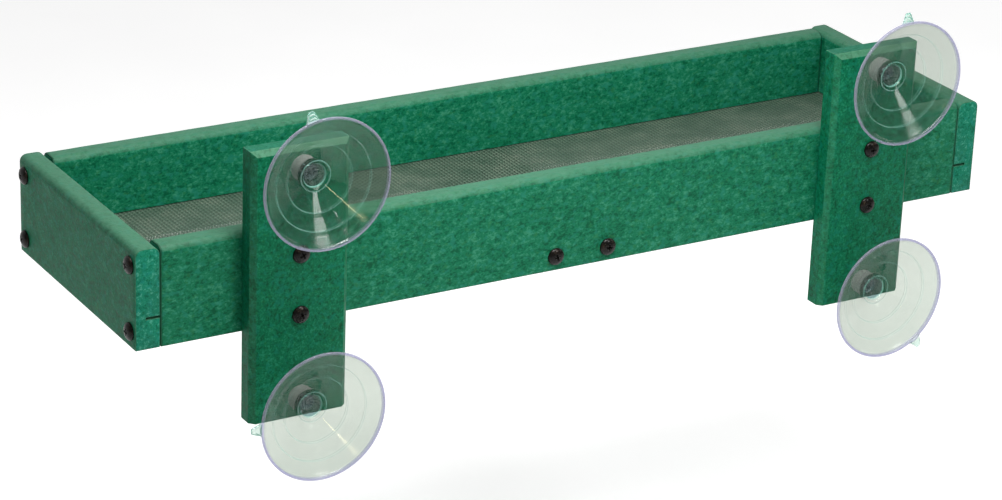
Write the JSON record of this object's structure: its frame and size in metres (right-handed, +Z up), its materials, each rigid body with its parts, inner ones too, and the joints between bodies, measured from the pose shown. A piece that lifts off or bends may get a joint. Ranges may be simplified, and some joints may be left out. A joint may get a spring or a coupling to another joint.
{
  "type": "window trough feeder",
  "caption": "Long open board tray with a woven screen floor, held off a window pane by uprights with suction cups that turn on their studs.",
  "frame": {"origin": "centre of the four suction cups, in the plane of the window glass that their rims press on", "axes": "+X along the trough, +Y away from the window glass, +Z up"},
  "size_m": [0.6164, 0.2215, 0.2371],
  "materials": {
    "recycled_plastic": "satin, finely mottled, paler along rounded edges",
    "screen": "woven coated wire",
    "clear_pvc": "clear, glossy, faint violet at the rim",
    "black_screw": "glossy black-brown coating",
    "zinc_steel": "bright zinc"
  },
  "bodies": {
    "tray": {"left_end_board": "recycled_plastic", "right_end_board": "recycled_plastic", "window_side_board": "recycled_plastic", "outer_side_board": "recycled_plastic", "screen_floor": "screen", "centre_brace": "recycled_plastic", "left_upright": "recycled_plastic", "right_upright": "recycled_plastic", "end_screw_left_window_upper": "black_screw", "end_screw_left_window_lower": "black_screw", "end_screw_left_outer_upper": "black_screw", "end_screw_left_outer_lower": "black_screw", "end_screw_right_window_upper": "black_screw", "end_screw_right_window_lower": "black_screw", "end_screw_right_outer_upper": "black_screw", "end_screw_right_outer_lower": "black_screw", "brace_screw_window_left": "black_screw", "brace_screw_window_right": "black_screw", "brace_screw_outer_left": "black_screw", "brace_screw_outer_right": "black_screw", "upright_screw_left_upper": "black_screw", "upright_screw_left_lower": "black_screw", "upright_screw_right_upper": "black_screw", "upright_screw_right_lower": "black_screw", "cup_washer_upper_left": "zinc_steel", "cup_washer_upper_right": "zinc_steel", "cup_washer_lower_left": "zinc_steel", "cup_washer_lower_right": "zinc_steel"},
    "cup_upper_left": {"suction_cup_upper_left": "clear_pvc", "cup_stud_upper_left": "zinc_steel", "cup_nut_upper_left": "zinc_steel"},
    "cup_upper_right": {"suction_cup_upper_right": "clear_pvc", "cup_stud_upper_right": "zinc_steel", "cup_nut_upper_right": "zinc_steel"},
    "cup_lower_left": {"suction_cup_lower_left": "clear_pvc", "cup_stud_lower_left": "zinc_steel", "cup_nut_lower_left": "zinc_steel"},
    "cup_lower_right": {"suction_cup_lower_right": "clear_pvc", "cup_stud_lower_right": "zinc_steel", "cup_nut_lower_right": "zinc_steel"}
  },
  "joints": [
    {"name": "turn_upper_left", "type": "hinge", "parent": "tray", "child": "cup_upper_left", "pos_m": [-0.2068, 0, 0.074], "axis": [0, -1, 0], "continuous": true},
    {"name": "turn_upper_right", "type": "hinge", "parent": "tray", "child": "cup_upper_right", "pos_m": [0.2068, 0, 0.074], "axis": [0, -1, 0], "continuous": true},
    {"name": "turn_lower_left", "type": "hinge", "parent": "tray", "child": "cup_lower_left", "pos_m": [-0.2068, 0, -0.074], "axis": [0, -1, 0], "continuous": true},
    {"name": "turn_lower_right", "type": "hinge", "parent": "tray", "child": "cup_lower_right", "pos_m": [0.2068, 0, -0.074], "axis": [0, -1, 0], "continuous": true}
  ]
}
